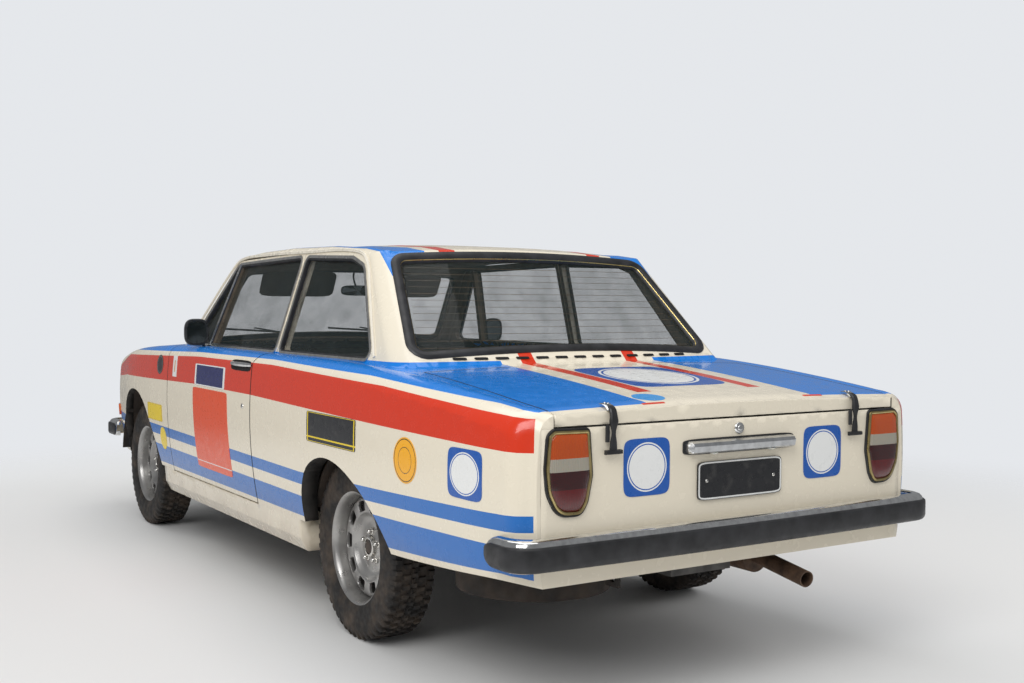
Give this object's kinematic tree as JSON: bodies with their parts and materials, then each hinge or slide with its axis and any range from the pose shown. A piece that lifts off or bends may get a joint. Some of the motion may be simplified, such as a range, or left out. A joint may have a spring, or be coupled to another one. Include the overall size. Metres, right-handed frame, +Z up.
{
  "type": "two-door rally saloon car",
  "caption": "Two-door three-box rally saloon of the early 1970s, with opening doors, bonnet and boot lid, steered front wheels and free-rolling wheels.",
  "frame": {"origin": "on the ground, in the middle of the car's length and width", "axes": "+X points forwards, +Y to the car's left and +Z up"},
  "size_m": [4.6398, 1.753, 1.4518],
  "materials": {
    "body_paint": "gloss, cream with red and blue bands",
    "inner_paint": "satin, dusty",
    "window_glass": "clear",
    "chassis_black": "satin",
    "engine_iron": "rough",
    "exhaust_steel": "dull",
    "bumper_chrome": "polished",
    "red_lens": "gloss",
    "amber_lens": "gloss",
    "grille_black": "satin",
    "strap_rubber": "matt",
    "cabin_trim": "matt",
    "seat_cover": "satin vinyl",
    "mirror_case": "satin",
    "tyre_rubber": "dusty",
    "wheel_steel": "satin silver"
  },
  "bodies": {
    "root": {"roof": "body_paint", "side_left": "body_paint", "side_right": "body_paint", "front_wing_left": "body_paint", "front_wing_right": "body_paint", "rear_panel": "body_paint", "rear_deck": "body_paint", "cowl": "body_paint", "front_panel": "body_paint", "windscreen": "window_glass", "rear_window": "window_glass", "quarter_windows": "window_glass", "floor_pan": "inner_paint", "boot_floor": "inner_paint", "wheel_house_left": "inner_paint", "wheel_house_right": "inner_paint", "firewall": "inner_paint", "rear_bulkhead": "inner_paint", "inner_wings": "inner_paint", "engine": "engine_iron", "front_crossmember": "chassis_black", "upper_arms": "chassis_black", "rear_axle": "chassis_black", "propshaft": "chassis_black", "exhaust": "exhaust_steel", "fuel_tank": "chassis_black", "rear_bumper": "bumper_chrome", "front_bumper": "bumper_chrome", "tail_lamps": "red_lens", "front_indicators": "amber_lens", "grille": "grille_black", "headlamps": "bumper_chrome", "plate_and_lamp": "grille_black", "dashboard": "cabin_trim", "front_seats": "seat_cover", "rear_seat": "seat_cover"},
    "door_left": {"door_left": "body_paint", "door_glass_left": "window_glass", "mirror_left": "mirror_case"},
    "door_right": {"door_right": "body_paint", "door_glass_right": "window_glass", "mirror_right": "mirror_case"},
    "bonnet": {"bonnet": "body_paint"},
    "boot_lid": {"boot_lid": "body_paint", "lid_straps": "strap_rubber"},
    "knuckle_left": {"knuckle_left": "chassis_black"},
    "knuckle_right": {"knuckle_right": "chassis_black"},
    "wheel_front_left": {"tyre_front_left": "tyre_rubber", "rim_front_left": "wheel_steel"},
    "wheel_front_right": {"tyre_front_right": "tyre_rubber", "rim_front_right": "wheel_steel"},
    "wheel_rear_left": {"tyre_rear_left": "tyre_rubber", "rim_rear_left": "wheel_steel"},
    "wheel_rear_right": {"tyre_rear_right": "tyre_rubber", "rim_rear_right": "wheel_steel"},
    "steering_wheel": {"steering_wheel": "cabin_trim"}
  },
  "joints": [
    {"name": "door_left_hinge", "type": "hinge", "parent": "root", "child": "door_left", "pos_m": [0.8525, 0.873, 0.7], "axis": [0, 0, -1], "range_deg": [0, 65]},
    {"name": "door_right_hinge", "type": "hinge", "parent": "root", "child": "door_right", "pos_m": [0.8525, -0.873, 0.7], "axis": [0, 0, 1], "range_deg": [0, 65]},
    {"name": "bonnet_hinge", "type": "hinge", "parent": "root", "child": "bonnet", "pos_m": [0.99, 0, 0.944], "axis": [0, -1, 0], "range_deg": [0, 60]},
    {"name": "boot_lid_hinge", "type": "hinge", "parent": "root", "child": "boot_lid", "pos_m": [-1.355, 0, 0.938], "axis": [0, 1, 0], "range_deg": [0, 70]},
    {"name": "steer_left", "type": "hinge", "parent": "root", "child": "knuckle_left", "pos_m": [1.52, 0.62, 0.324], "axis": [0, 0, 1], "range_deg": [-33, 33]},
    {"name": "steer_right", "type": "hinge", "parent": "root", "child": "knuckle_right", "pos_m": [1.52, -0.62, 0.324], "axis": [0, 0, 1], "range_deg": [-34, 34]},
    {"name": "spin_front_left", "type": "hinge", "parent": "knuckle_left", "child": "wheel_front_left", "pos_m": [1.52, 0.7, 0.324], "axis": [0, 1, 0], "continuous": true},
    {"name": "spin_front_right", "type": "hinge", "parent": "knuckle_right", "child": "wheel_front_right", "pos_m": [1.52, -0.7, 0.324], "axis": [0, 1, 0], "continuous": true},
    {"name": "spin_rear_left", "type": "hinge", "parent": "root", "child": "wheel_rear_left", "pos_m": [-1.1, 0.7, 0.324], "axis": [0, 1, 0], "continuous": true},
    {"name": "spin_rear_right", "type": "hinge", "parent": "root", "child": "wheel_rear_right", "pos_m": [-1.1, -0.7, 0.324], "axis": [0, 1, 0], "continuous": true},
    {"name": "steering_wheel_turn", "type": "hinge", "parent": "root", "child": "steering_wheel", "pos_m": [0.425, 0.365, 0.815], "axis": [-0.9272, 0, 0.3746], "range_deg": [-600, 600]}
  ],
  "couplings": [
    {"joint": "steer_right", "follows": "steer_left", "ratio": 1},
    {"joint": "steering_wheel_turn", "follows": "steer_left", "ratio": 17}
  ]
}
